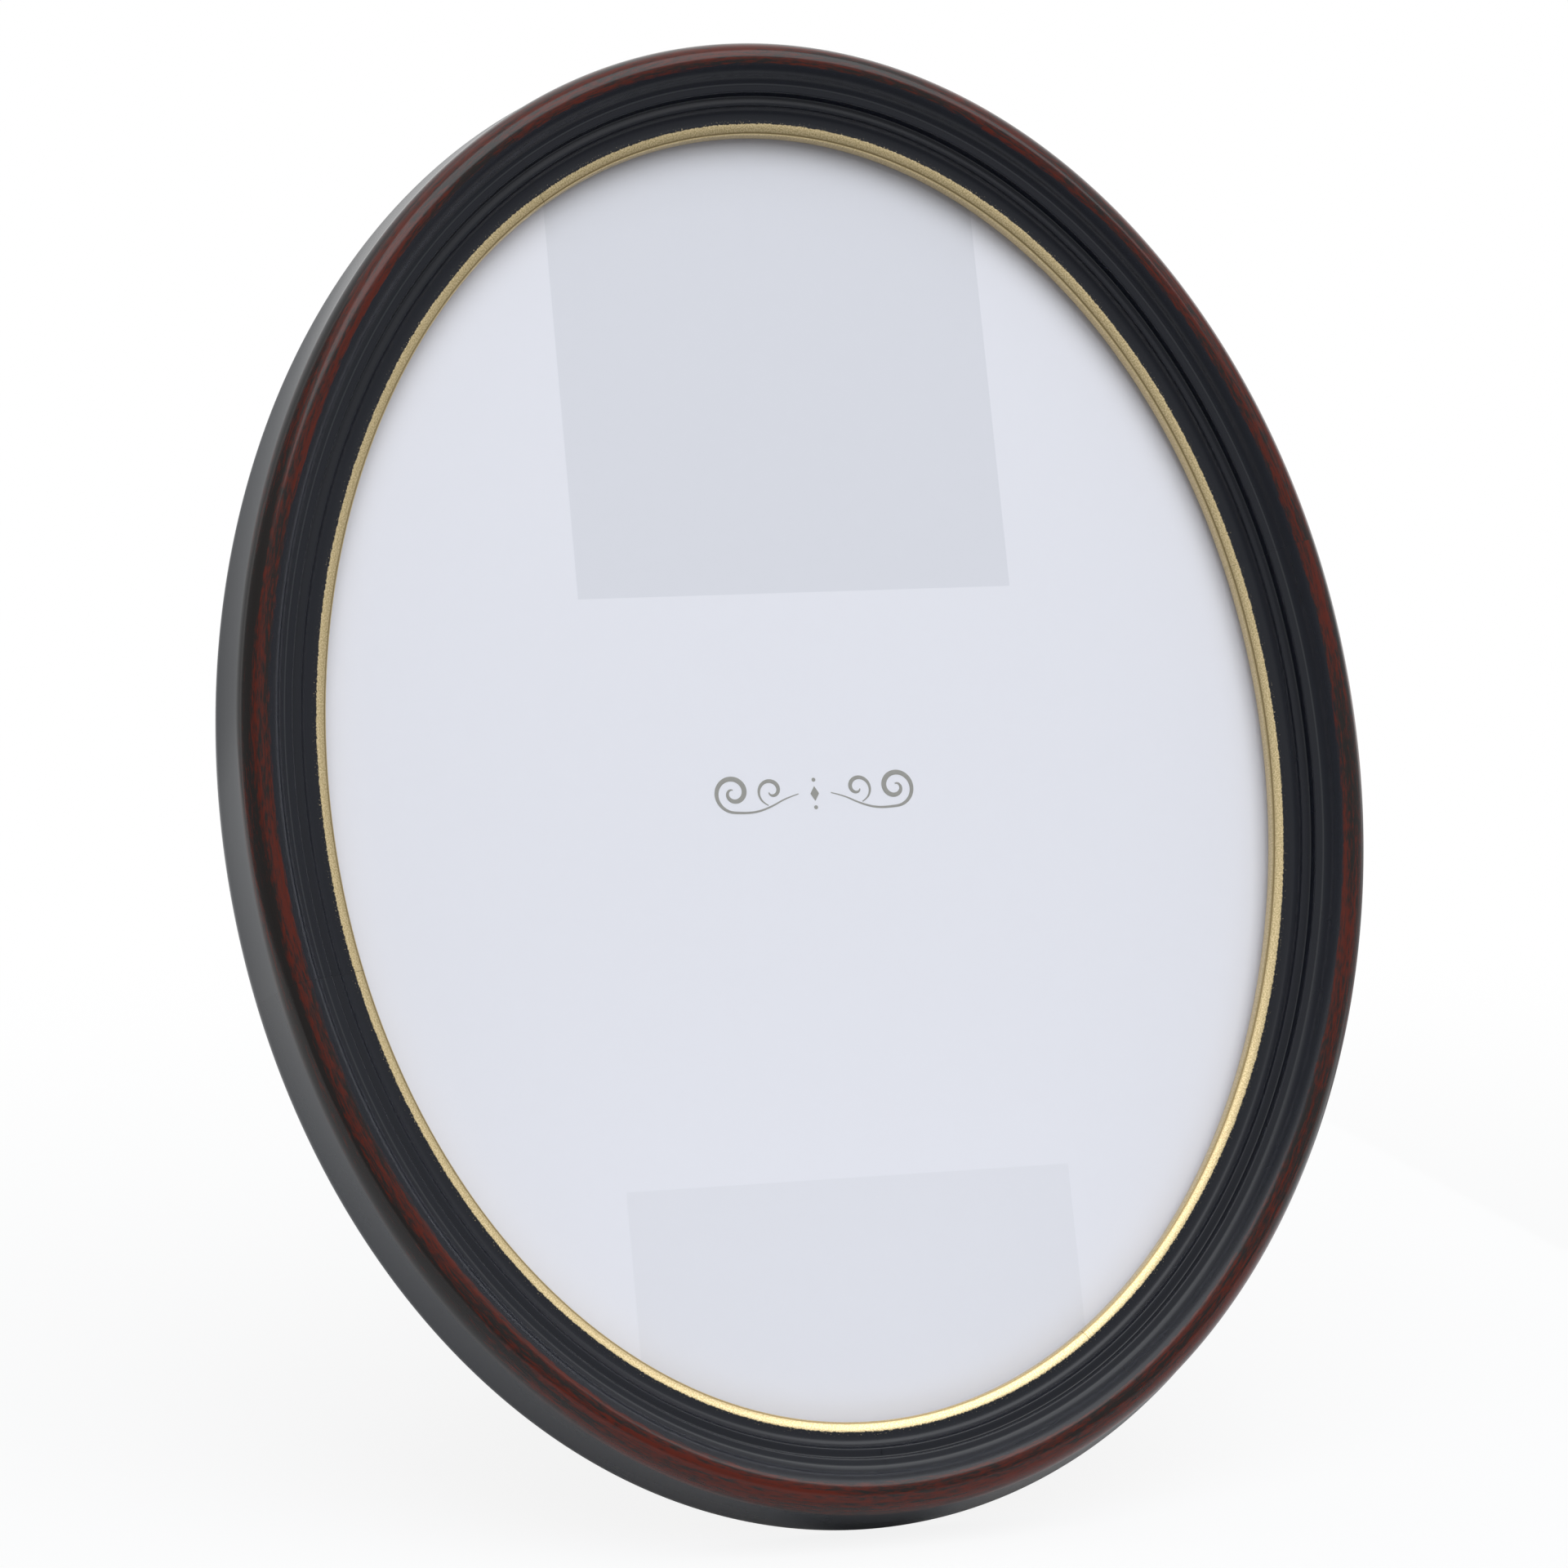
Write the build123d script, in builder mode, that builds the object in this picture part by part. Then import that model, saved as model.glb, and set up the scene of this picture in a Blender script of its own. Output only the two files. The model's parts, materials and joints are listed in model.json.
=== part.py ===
from build123d import *
import os
from math import atan2, cos, degrees, radians, sin

# Oval table frame in millimetres: +Z up, the picture faces -Y and leans back.
# The origin is on the table, below the middle of the frame and its open strut.

# Picture format and the lip that holds it
format_width = 180.0
format_height = 240.0
sight_overlap = 3.5
rebate_clearance = 0.5
plate_clearance = 0.4
lean_back = 20.0

# Stack behind the lip, front to back
glass_thickness = 2.0
sheet_thickness = 0.3
card_thickness = 0.8
board_thickness = 2.5
board_recess = 0.1

# Moulding section, from the sight edge outwards
gilt_wall = 2.35
gilt_width = 1.85
gilt_rise = 0.8
gilt_sag = 0.14
cove_width = 2.9
cove_rise = 1.85
cove_sag = 0.45
tread_width = 1.65
riser_run = 0.2
riser_rise = 1.75
ledge_width = 3.1
ledge_rise = 1.8
ledge_sag = 0.4
bead_radius = 3.3
bead_inner_angle = 145.0
bead_outer_angle = -15.0
quirk_run = 0.61
quirk_drop = 1.1
quirk_sag = 0.1
flare_run = 1.84
flare_drop = 9.3
flare_sag = 0.3

# Glued joints of the four moulding segments, as angles of the oval
side_joint_angle = 16.5
end_joint_angle = 117.0
dowel_radius = 3.0
dowel_length = 24.0
dowel_end_room = 0.5
dowel_clearance = 0.05
dowel_from_rebate = 7.0
dowel_height = 1.0

# Turn buttons and their screws
button_angle = 45.0
button_screw_inset = 5.5
button_thickness = 1.2
button_eye_radius = 4.6
button_tip_radius = 3.2
button_reach = 14.0
button_gap = 0.1
screw_radius = 1.5
screw_clearance = 0.06
screw_seat_clearance = 0.03
screw_depth = 8.0
screw_tip_length = 2.0
screw_tip_radius = 0.4
screw_head_radius = 3.2
screw_head_height = 1.7

# Easel strut and its hinge
hinge_height = 40.0
strut_opening = 36.0
strut_thickness = 3.0
strut_top_width = 42.0
strut_foot_width = 64.0
strut_corner_radius = 5.0
leaf_thickness = 1.0
leaf_width = 34.0
leaf_length = 25.0
leaf_corner_radius = 4.0
leaf_lift = 0.3
knuckle_wall = 0.8
knuckle_length = 18.0
knuckle_gap = 0.3
knuckle_room = 0.5
pin_radius = 1.1
pin_clearance = 0.05
pin_head_radius = 1.7
pin_head_length = 0.8
pin_head_taper = 15.0
stop_width = 10.0
stop_length = 7.5
stop_gap = 0.08

# Rivets of the hinge leaves and of the hanger
rivet_radius = 1.5
rivet_clearance = 0.05
rivet_head_radius = 2.8
rivet_head_height = 1.2
rivet_head_taper = 35.0
rivet_short = 0.1
rivet_across = 20.0
rivet_row_gap = 9.0
rivet_first_row = 10.5

# Wall hanger: folded strap and its D-ring
hanger_height = 102.0
strap_width = 9.0
strap_thickness = 0.8
strap_tail = 11.0
strap_rivet_from_bar = 6.8
ring_wire_radius = 1.0
ring_clearance = 0.1
ring_half_width = 8.0
ring_corner_radius = 3.0
ring_side_length = 2.0

# Sight oval, and the section's reach and heights above the glass
sight_a = format_width / 2 - sight_overlap
sight_b = format_height / 2 - sight_overlap
rebate_reach = sight_overlap + rebate_clearance
moulding_back = glass_thickness + sheet_thickness + card_thickness + board_thickness + board_recess
gilt_foot_height = gilt_wall + gilt_rise
cove_reach = gilt_width + cove_width
tread_height = gilt_foot_height + cove_rise
tread_reach = cove_reach + tread_width
ledge_reach = tread_reach + riser_run
ledge_height = tread_height + riser_rise
bead_foot = (ledge_reach + ledge_width, ledge_height + ledge_rise)
bead_reach = bead_foot[0] - bead_radius * cos(radians(bead_inner_angle))
bead_height = bead_foot[1] - bead_radius * sin(radians(bead_inner_angle))
bead_outer_reach = bead_reach + bead_radius * cos(radians(bead_outer_angle))
bead_outer_height = bead_height + bead_radius * sin(radians(bead_outer_angle))
flare_top = (bead_outer_reach + quirk_run, bead_outer_height - quirk_drop)
outer_reach = flare_top[0] + flare_run
flare_foot = (outer_reach, flare_top[1] - flare_drop)

# Hinge axis behind the board, and the strut's lean when it stands open
knuckle_radius = pin_radius + knuckle_wall
hinge_stand_off = knuckle_radius + leaf_lift
board_back = moulding_back - board_recess
hinge_depth = board_back + hinge_stand_off
strut_front = knuckle_radius - leaf_thickness
strut_back = strut_front - strut_thickness
strut_lean = radians(strut_opening - lean_back)

# Place of the oval's centre: the rear bottom edge and the strut's foot stand on the table
lean = radians(lean_back)
oval_z = (sight_b + outer_reach) * cos(lean) + moulding_back * sin(lean)
hinge_z = oval_z + hinge_height * cos(lean) - hinge_depth * sin(lean)
hinge_from_oval_y = hinge_height * sin(lean) + hinge_depth * cos(lean)
foot_run = (hinge_z - strut_back * sin(strut_lean)) / cos(strut_lean)
rear_reach = hinge_from_oval_y - strut_back * cos(strut_lean) + foot_run * sin(strut_lean)
front_reach = (sight_b + bead_reach) * sin(lean) + bead_height * cos(lean) + bead_radius
oval_y = (front_reach - rear_reach) / 2

# Planes: the glass front, the moulding's back, the board's back and the open strut
face = Plane(origin=(0, oval_y, oval_z), x_dir=(1, 0, 0), z_dir=(0, -cos(lean), sin(lean)))
moulding_rear = face.offset(-moulding_back)
board_rear = face.offset(-board_back)
hinge_point = face.from_local_coords(Vector(0, hinge_height, -hinge_depth))
hinge_side = Plane(origin=hinge_point, x_dir=face.y_dir, z_dir=(1, 0, 0))
strut_normal = (0, -cos(strut_lean), -sin(strut_lean))
strut_plane = Plane(origin=hinge_point, x_dir=(1, 0, 0), z_dir=strut_normal)

os.makedirs("parts", exist_ok=True)


def save(builder, name):
    builder.part.label = name
    export_step(builder.part, f"parts/{name}.step")


def oval_normal(angle):
    """Outward direction, in degrees, square to the sight oval at an angle of the oval."""
    return degrees(atan2(sight_a * sin(radians(angle)), sight_b * cos(radians(angle))))


def on_oval(angle, reach):
    """Point at a distance outside the sight oval, in the frame's own plane."""
    turn = radians(oval_normal(angle))
    x = sight_a * cos(radians(angle)) + reach * cos(turn)
    y = sight_b * sin(radians(angle)) + reach * sin(turn)
    return x, y


def section_plane(angle):
    """Plane square to the moulding: x runs outwards, y runs forwards."""
    turn = radians(oval_normal(angle))
    outwards = face.x_dir * cos(turn) + face.y_dir * sin(turn)
    along = face.y_dir * cos(turn) - face.x_dir * sin(turn)
    x, y = on_oval(angle, 0)
    return Plane(origin=face.from_local_coords(Vector(x, y, 0)), x_dir=outwards, z_dir=-along)


# Moulding: four curved wooden segments, butted and dowelled, with one section all round
segments = {
    "moulding_top": (side_joint_angle, end_joint_angle),
    "moulding_left": (end_joint_angle, side_joint_angle + 180),
    "moulding_bottom": (side_joint_angle + 180, end_joint_angle + 180),
    "moulding_right": (end_joint_angle + 180, side_joint_angle + 360),
}
button_angles = [button_angle, 180 - button_angle, 180 + button_angle, 360 - button_angle]
dowel_reach = rebate_reach + dowel_from_rebate
button_screw_reach = rebate_reach + button_screw_inset

for (name, (first, last)), screw_angle in zip(segments.items(), button_angles):
    with BuildPart() as segment:
        with BuildLine(face) as oval_arc:
            EllipticalCenterArc((0, 0), sight_a, sight_b, first, arc_size=last - first)
        with BuildSketch(section_plane(first)):
            with BuildLine():
                Polyline((0, gilt_wall), (0, 0), (rebate_reach, 0), (rebate_reach, -moulding_back))
                Polyline(
                    (rebate_reach, -moulding_back),
                    (outer_reach, -moulding_back),
                    flare_foot,
                )
                SagittaArc(flare_foot, flare_top, -flare_sag)
                SagittaArc(flare_top, (bead_outer_reach, bead_outer_height), -quirk_sag)
                CenterArc(
                    (bead_reach, bead_height),
                    bead_radius,
                    bead_outer_angle,
                    bead_inner_angle - bead_outer_angle,
                )
                SagittaArc(bead_foot, (ledge_reach, ledge_height), -ledge_sag)
                Polyline(
                    (ledge_reach, ledge_height),
                    (tread_reach, tread_height),
                    (cove_reach, tread_height),
                )
                SagittaArc((cove_reach, tread_height), (gilt_width, gilt_foot_height), -cove_sag)
                SagittaArc((gilt_width, gilt_foot_height), (0, gilt_wall), gilt_sag)
            make_face()
        sweep(path=oval_arc.line)
        # Blind holes for the dowels in both joint faces
        for angle, into in ((first, -1), (last, 1)):
            with BuildSketch(section_plane(angle)):
                with Locations((dowel_reach, dowel_height)):
                    Circle(dowel_radius + dowel_clearance)
            extrude(amount=into * (dowel_length / 2 + dowel_end_room), mode=Mode.SUBTRACT)
        # Pilot hole of this segment's turn button
        with BuildSketch(moulding_rear):
            with Locations(on_oval(screw_angle, button_screw_reach)):
                Circle(screw_radius + screw_seat_clearance)
        extrude(amount=screw_depth + dowel_end_room, mode=Mode.SUBTRACT)
    save(segment, name)

# Dowels: a glued beech peg across each of the four joints
with BuildPart() as joint_dowels:
    for first, last in segments.values():
        with BuildSketch(section_plane(first)):
            with Locations((dowel_reach, dowel_height)):
                Circle(dowel_radius)
        extrude(amount=dowel_length / 2, both=True)
save(joint_dowels, "joint_dowels")

# Glass, printed sheet and filler card, stacked against the lip
plate_a = format_width / 2 - plate_clearance
plate_b = format_height / 2 - plate_clearance

with BuildPart() as glass_pane:
    with BuildSketch(face):
        Ellipse(plate_a, plate_b)
    extrude(amount=-glass_thickness)
save(glass_pane, "glass_pane")

with BuildPart() as print_sheet:
    with BuildSketch(face.offset(-glass_thickness)):
        Ellipse(format_width / 2, format_height / 2)
    extrude(amount=-sheet_thickness)
save(print_sheet, "print_sheet")

with BuildPart() as backing_card:
    with BuildSketch(face.offset(-glass_thickness - sheet_thickness)):
        Ellipse(plate_a, plate_b)
    extrude(amount=-card_thickness)
save(backing_card, "backing_card")

# Back board: flush with the moulding's back, drilled for the hinge and hanger rivets
leaf_rivet_rows = [hinge_height + rivet_first_row, hinge_height + rivet_first_row + rivet_row_gap]
leaf_rivets = [(x, y) for x in (-rivet_across / 2, rivet_across / 2) for y in leaf_rivet_rows]
hanger_rivet_spot = (0, hanger_height - strap_rivet_from_bar)

with BuildPart() as back_board:
    with BuildSketch(board_rear):
        Ellipse(plate_a, plate_b)
        with Locations(*leaf_rivets, hanger_rivet_spot):
            Circle(rivet_radius + rivet_clearance, mode=Mode.SUBTRACT)
    extrude(amount=board_thickness)
save(back_board, "back_board")

# Board leaf of the hinge: a pressed steel plate with two outer knuckles, open between them
# for the strut's knuckle
notch_height = knuckle_radius + knuckle_room
notch_width = knuckle_length + 2 * knuckle_gap

with BuildPart() as hinge_board_leaf:
    with BuildSketch(board_rear):
        with Locations((0, hinge_height + leaf_length / 2)):
            plate = Rectangle(leaf_width, leaf_length)
        fillet(plate.vertices().group_by(Axis.Z)[-1], leaf_corner_radius)
        with Locations((0, hinge_height + notch_height / 2)):
            Rectangle(notch_width, notch_height, mode=Mode.SUBTRACT)
        with Locations(*leaf_rivets):
            Circle(rivet_radius + rivet_clearance, mode=Mode.SUBTRACT)
    extrude(amount=-leaf_thickness)
    for side in (-1, 1):
        with BuildSketch(hinge_side.offset(side * notch_width / 2)):
            Circle(knuckle_radius)
        extrude(amount=side * (leaf_width - notch_width) / 2)
    with BuildSketch(hinge_side.offset(-leaf_width / 2)):
        Circle(pin_radius + pin_clearance)
    extrude(amount=leaf_width, mode=Mode.SUBTRACT)
save(hinge_board_leaf, "hinge_board_leaf")

# Strut leaf: one middle knuckle, and a tongue that stops the strut on the board leaf
leaf_top = hinge_stand_off - leaf_thickness
strut_rivet_rows = [-rivet_first_row, -rivet_first_row - rivet_row_gap]
strut_rivets = [(x, y) for x in (-rivet_across / 2, rivet_across / 2) for y in strut_rivet_rows]

with BuildPart() as hinge_strut_leaf:
    with BuildSketch(strut_plane.offset(strut_front)):
        with Locations((0, -leaf_length / 2)):
            plate = Rectangle(leaf_width, leaf_length)
        fillet(plate.vertices().group_by(Axis.Z)[0], leaf_corner_radius)
        for side in (-1, 1):
            with Locations((side * (leaf_width + knuckle_length) / 4, -notch_height / 2)):
                Rectangle((leaf_width - knuckle_length) / 2, notch_height, mode=Mode.SUBTRACT)
        with Locations(*strut_rivets):
            Circle(rivet_radius + rivet_clearance, mode=Mode.SUBTRACT)
    extrude(amount=leaf_thickness)
    with BuildSketch(hinge_side.offset(-knuckle_length / 2)):
        Circle(knuckle_radius)
    extrude(amount=knuckle_length)
    with BuildSketch(hinge_side.offset(-stop_width / 2)):
        with Locations((stop_length / 2, leaf_top - stop_gap - leaf_thickness / 2)):
            Rectangle(stop_length, leaf_thickness)
    extrude(amount=stop_width)
    with BuildSketch(hinge_side.offset(-knuckle_length / 2)):
        Circle(pin_radius + pin_clearance)
    extrude(amount=knuckle_length, mode=Mode.SUBTRACT)
save(hinge_strut_leaf, "hinge_strut_leaf")

# Hinge pin: a steel wire headed at both ends
with BuildPart() as hinge_pin:
    pin_half = leaf_width / 2 + pin_clearance
    with BuildSketch(hinge_side.offset(-pin_half)):
        Circle(pin_radius)
    extrude(amount=2 * pin_half)
    for side in (-1, 1):
        with BuildSketch(hinge_side.offset(side * pin_half)):
            Circle(pin_head_radius)
        extrude(amount=side * pin_head_length, taper=pin_head_taper)
save(hinge_pin, "hinge_pin")

# Strut: a tapered board with rounded shoulders, its foot cut level with the table
with BuildPart() as strut:
    with BuildSketch(strut_plane.offset(strut_back)):
        with BuildLine():
            Polyline(
                (-strut_top_width / 2, -notch_height),
                (strut_top_width / 2, -notch_height),
                (strut_foot_width / 2, -foot_run - strut_thickness),
                (-strut_foot_width / 2, -foot_run - strut_thickness),
                close=True,
            )
        make_face()
        fillet(vertices().group_by(Axis.Z)[-1], strut_corner_radius)
        with Locations(*strut_rivets):
            Circle(rivet_radius + rivet_clearance, mode=Mode.SUBTRACT)
    extrude(amount=strut_thickness)
    split(bisect_by=Plane.XY, keep=Keep.TOP)
save(strut, "strut")


def add_rivets(plane, spots, grip):
    """Domed rivets: heads stand out of a plane, shanks reach the grip's length behind it."""
    with BuildSketch(plane) as shanks:
        with Locations(*spots):
            Circle(rivet_radius)
    extrude(shanks.sketch, amount=-(grip - rivet_short))
    with BuildSketch(plane) as heads:
        with Locations(*spots):
            Circle(rivet_head_radius)
    extrude(heads.sketch, amount=rivet_head_height, taper=rivet_head_taper)


# Rivets: four through the board leaf, four through the strut and its leaf, one in the hanger
board_leaf_back = Plane(board_rear.offset(-leaf_thickness).origin, (1, 0, 0), -face.z_dir)
with BuildPart() as board_leaf_rivets:
    add_rivets(board_leaf_back, [(x, -y) for x, y in leaf_rivets], leaf_thickness + board_thickness)
save(board_leaf_rivets, "board_leaf_rivets")

strut_rear = Plane(strut_plane.offset(strut_back).origin, (1, 0, 0), -strut_plane.z_dir)
with BuildPart() as strut_leaf_rivets:
    add_rivets(strut_rear, [(x, -y) for x, y in strut_rivets], strut_thickness + leaf_thickness)
save(strut_leaf_rivets, "strut_leaf_rivets")

# Hanger strap: sheet steel folded round the ring's bar, its tail riveted to the board
loop_radius = ring_wire_radius + ring_clearance + strap_thickness
bar_point = face.from_local_coords(Vector(0, hanger_height, -board_back - loop_radius))
bar_side = Plane(origin=bar_point, x_dir=face.y_dir, z_dir=(1, 0, 0))

with BuildPart() as hanger_strap:
    with BuildSketch(bar_side.offset(-strap_width / 2)):
        Circle(loop_radius)
        with Locations((-strap_tail / 2, loop_radius - strap_thickness / 2)):
            Rectangle(strap_tail, strap_thickness)
        Circle(ring_wire_radius + ring_clearance, mode=Mode.SUBTRACT)
    extrude(amount=strap_width)
    with BuildSketch(board_rear):
        with Locations(hanger_rivet_spot):
            Circle(rivet_radius + rivet_clearance)
    extrude(amount=-strap_thickness, mode=Mode.SUBTRACT)
save(hanger_strap, "hanger_strap")

strap_back = Plane(board_rear.offset(-strap_thickness).origin, (1, 0, 0), -face.z_dir)
with BuildPart() as hanger_rivet:
    hanger_rivet_below = (hanger_rivet_spot[0], -hanger_rivet_spot[1])
    add_rivets(strap_back, [hanger_rivet_below], strap_thickness + board_thickness)
save(hanger_rivet, "hanger_rivet")

# D-ring: bent steel wire, hanging straight down from its bar
ring_plane = Plane(origin=bar_point, x_dir=(1, 0, 0), z_dir=(0, 1, 0))
ring_bar_half = ring_half_width - ring_corner_radius
ring_shoulder = ring_corner_radius + ring_side_length

with BuildPart() as hanger_ring:
    with BuildLine(ring_plane) as ring_path:
        Line((-ring_bar_half, 0), (ring_bar_half, 0))
        RadiusArc((ring_bar_half, 0), (ring_half_width, ring_corner_radius), -ring_corner_radius)
        Line((ring_half_width, ring_corner_radius), (ring_half_width, ring_shoulder))
        CenterArc((0, ring_shoulder), ring_half_width, 0, 180)
        Line((-ring_half_width, ring_shoulder), (-ring_half_width, ring_corner_radius))
        RadiusArc((-ring_half_width, ring_corner_radius), (-ring_bar_half, 0), -ring_corner_radius)
    with BuildSketch(bar_side.offset(-ring_bar_half)):
        Circle(ring_wire_radius)
    sweep(path=ring_path.wire())
save(hanger_ring, "hanger_ring")

# Turn buttons: pressed steel, eye on the screw and tip over the board's edge
button_seat = moulding_back + button_gap
button_plane = face.offset(-button_seat)

for number, angle in enumerate(button_angles, start=1):
    x, y = on_oval(angle, button_screw_reach)
    inwards = radians(oval_normal(angle) + 180)
    tip = (x + button_reach * cos(inwards), y + button_reach * sin(inwards))
    with BuildPart() as turn_button:
        with BuildSketch(button_plane):
            with Locations((x, y)):
                Circle(button_eye_radius)
            with Locations(tip):
                Circle(button_tip_radius)
            make_hull()
            with Locations((x, y)):
                Circle(screw_radius + screw_clearance, mode=Mode.SUBTRACT)
        extrude(amount=-button_thickness)
    save(turn_button, f"turn_button_{number}")

# Button screws: round heads just clear of the buttons, points in the moulding
head_seat = button_seat + button_thickness + button_gap
screw_rear = Plane(face.offset(-head_seat).origin, (1, 0, 0), -face.z_dir)
screw_spots = [on_oval(angle, button_screw_reach) for angle in button_angles]
screw_spots_below = [(x, -y) for x, y in screw_spots]
screw_shank = head_seat - moulding_back + screw_depth - screw_tip_length

with BuildPart() as turn_button_screws:
    for spot in screw_spots_below:
        spot_point = screw_rear.from_local_coords(Vector(*spot, 0))
        with BuildSketch(Plane(spot_point, (1, 0, 0), face.x_dir.cross(face.z_dir))):
            with BuildLine():
                Polyline(
                    (0, -screw_head_height),
                    (0, screw_shank + screw_tip_length),
                    (screw_tip_radius, screw_shank + screw_tip_length),
                    (screw_radius, screw_shank),
                    (screw_radius, 0),
                    (screw_head_radius, 0),
                )
                TangentArc((0, -screw_head_height), (screw_head_radius, 0), tangent=(1, 0))
            make_face()
        revolve(axis=Axis(spot_point, face.z_dir))
save(turn_button_screws, "turn_button_screws")
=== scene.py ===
import json
from math import atan2, cos, hypot, pi, radians, sin

import bpy
from mathutils import Matrix, Vector


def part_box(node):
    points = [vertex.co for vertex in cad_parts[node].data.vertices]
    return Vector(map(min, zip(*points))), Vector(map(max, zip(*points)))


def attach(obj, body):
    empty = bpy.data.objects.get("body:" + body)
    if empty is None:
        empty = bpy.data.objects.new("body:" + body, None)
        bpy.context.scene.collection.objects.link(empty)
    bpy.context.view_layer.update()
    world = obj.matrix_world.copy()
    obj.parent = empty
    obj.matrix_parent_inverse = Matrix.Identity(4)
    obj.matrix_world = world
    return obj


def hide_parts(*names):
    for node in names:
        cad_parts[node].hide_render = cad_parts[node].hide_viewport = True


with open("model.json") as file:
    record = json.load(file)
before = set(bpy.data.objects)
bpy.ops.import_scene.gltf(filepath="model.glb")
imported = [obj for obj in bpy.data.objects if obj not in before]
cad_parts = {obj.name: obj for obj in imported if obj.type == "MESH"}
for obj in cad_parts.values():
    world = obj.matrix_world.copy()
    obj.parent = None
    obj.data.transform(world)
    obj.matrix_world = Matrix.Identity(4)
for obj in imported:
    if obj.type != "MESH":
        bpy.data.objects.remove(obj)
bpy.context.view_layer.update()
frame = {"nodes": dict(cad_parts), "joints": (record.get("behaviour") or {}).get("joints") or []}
MM = 0.001

# Oval moulding: ramin wood, four curved lengths butted, dowelled and glued, then run to one
# section all round. It is stained mahogany on the outer bead, sprayed black in the cove and
# on the side, and gilded by brush on the lip. The back is left as bare wood.
joint_facts = {joint["name"]: joint for joint in frame["joints"]}
face_out = Vector(joint_facts["turn_button_1_turn"]["axis"]).normalized()
face_side = Vector((1, 0, 0))
face_up = face_out.cross(face_side)
glass_thickness = 2.0 * MM
glass_low, glass_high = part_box("glass_pane")
face_middle = (glass_low + glass_high) / 2 + face_out * glass_thickness / 2
sight_half_width = 86.5 * MM
sight_half_height = 116.5 * MM
on_face = Matrix((face_side, face_up, face_out)).transposed().to_4x4()
on_face.translation = face_middle


def sagitta_arc(start, end, sag, count):
    """Points of an arc after its start, bulging to the left of the way from start to end."""
    chord = Vector(end) - Vector(start)
    half = chord.length / 2
    radius = (half * half + sag * sag) / (2 * abs(sag))
    left = Vector((-chord.y, chord.x)).normalized() * (1 if sag > 0 else -1)
    centre = (Vector(start) + Vector(end)) / 2 - left * (radius - abs(sag))
    first = Vector(start) - centre
    sweep = 2 * atan2(half, radius - abs(sag)) * (-1 if sag > 0 else 1)
    turned = []
    for number in range(1, count + 1):
        angle = sweep * number / count
        x = first.x * cos(angle) - first.y * sin(angle)
        y = first.x * sin(angle) + first.y * cos(angle)
        turned.append((centre.x + x, centre.y + y))
    return turned


def straight(start, end, count):
    """Points of a straight stretch after its start."""
    shares = [number / count for number in range(1, count + 1)]
    return [tuple(Vector(start).lerp(Vector(end), share)) for share in shares]


gilt_wall = 2.35
gilt_edge = (1.85, 3.15)
gilt_sag = 0.14
cove_bend = (3.5, 3.3)
cove_sag = -0.04
cove_end = (4.75, 5.0)
bend_sag = -0.34
tread_end = (6.4, 5.0)
riser_end = (6.6, 6.82)
ledge_end = (8.0, 7.02)
fillet_sag = -0.18
bead_centre = (12.235, 6.657)
bead_radius = 3.3
bead_foot_angle = 150
bead_flank_angle = 40
flank_radius = 6.0
flank_end_angle = 8
flare_end = (18.043, -4.597)
flare_sag = -0.119
moulding_back = -5.7
rebate_reach = 4.0
joint_turns = {
    "moulding_top": (16.5, 117.0),
    "moulding_left": (117.0, 196.5),
    "moulding_bottom": (196.5, 297.0),
    "moulding_right": (297.0, 376.5),
}


def on_circle(centre, radius, turn):
    return centre[0] + radius * cos(radians(turn)), centre[1] + radius * sin(radians(turn))


bead_foot = on_circle(bead_centre, bead_radius, bead_foot_angle)
bead_steps = 22
bead_turn = (bead_flank_angle - bead_foot_angle) / bead_steps
bead_points = [
    on_circle(bead_centre, bead_radius, bead_foot_angle + bead_turn * step)
    for step in range(1, bead_steps + 1)
]
flank_centre = on_circle(bead_centre, bead_radius - flank_radius, bead_flank_angle)
flank_steps = 8
flank_turn = (flank_end_angle - bead_flank_angle) / flank_steps
bead_points += [
    on_circle(flank_centre, flank_radius, bead_flank_angle + flank_turn * step)
    for step in range(1, flank_steps + 1)
]
section = [(0, 0)]
section += straight((0, 0), (0, gilt_wall), 3)
section += sagitta_arc((0, gilt_wall), gilt_edge, gilt_sag, 8)
gilt_count = len(section)
section += sagitta_arc(gilt_edge, cove_bend, cove_sag, 5)
section += sagitta_arc(cove_bend, cove_end, bend_sag, 9)
section += straight(cove_end, tread_end, 3)
tread_count = len(section)
section += straight(tread_end, riser_end, 3)
section += straight(riser_end, ledge_end, 4)
ledge_count = len(section)
section += sagitta_arc(ledge_end, bead_foot, fillet_sag, 9)
foot_count = len(section)
section += bead_points
bead_count = len(section)
section += sagitta_arc(bead_points[-1], flare_end, flare_sag, 16)
section += straight(flare_end, (flare_end[0], moulding_back), 3)
wall_count = len(section)
section += straight((flare_end[0], moulding_back), (rebate_reach, moulding_back), 6)
section += straight((rebate_reach, moulding_back), (rebate_reach, 0), 4)
section += straight((rebate_reach, 0), (0, 0), 3)

run_across = [0.0]
for before, after in zip(section, section[1:]):
    run_across.append(run_across[-1] + hypot(after[0] - before[0], after[1] - before[1]))
gilt_run = run_across[gilt_count - 1]
tread_run = run_across[tread_count - 1]
ledge_run = run_across[ledge_count - 1]
foot_run = run_across[foot_count - 1]
bead_run = run_across[bead_count - 1]
wall_run = run_across[wall_count - 1]

# A straight stick of the moulding: the section drawn point by point, then pulled along X
sight_length = pi * (3 * (sight_half_width + sight_half_height) - (
    (3 * sight_half_width + sight_half_height) * (sight_half_width + 3 * sight_half_height)
) ** 0.5)


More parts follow.
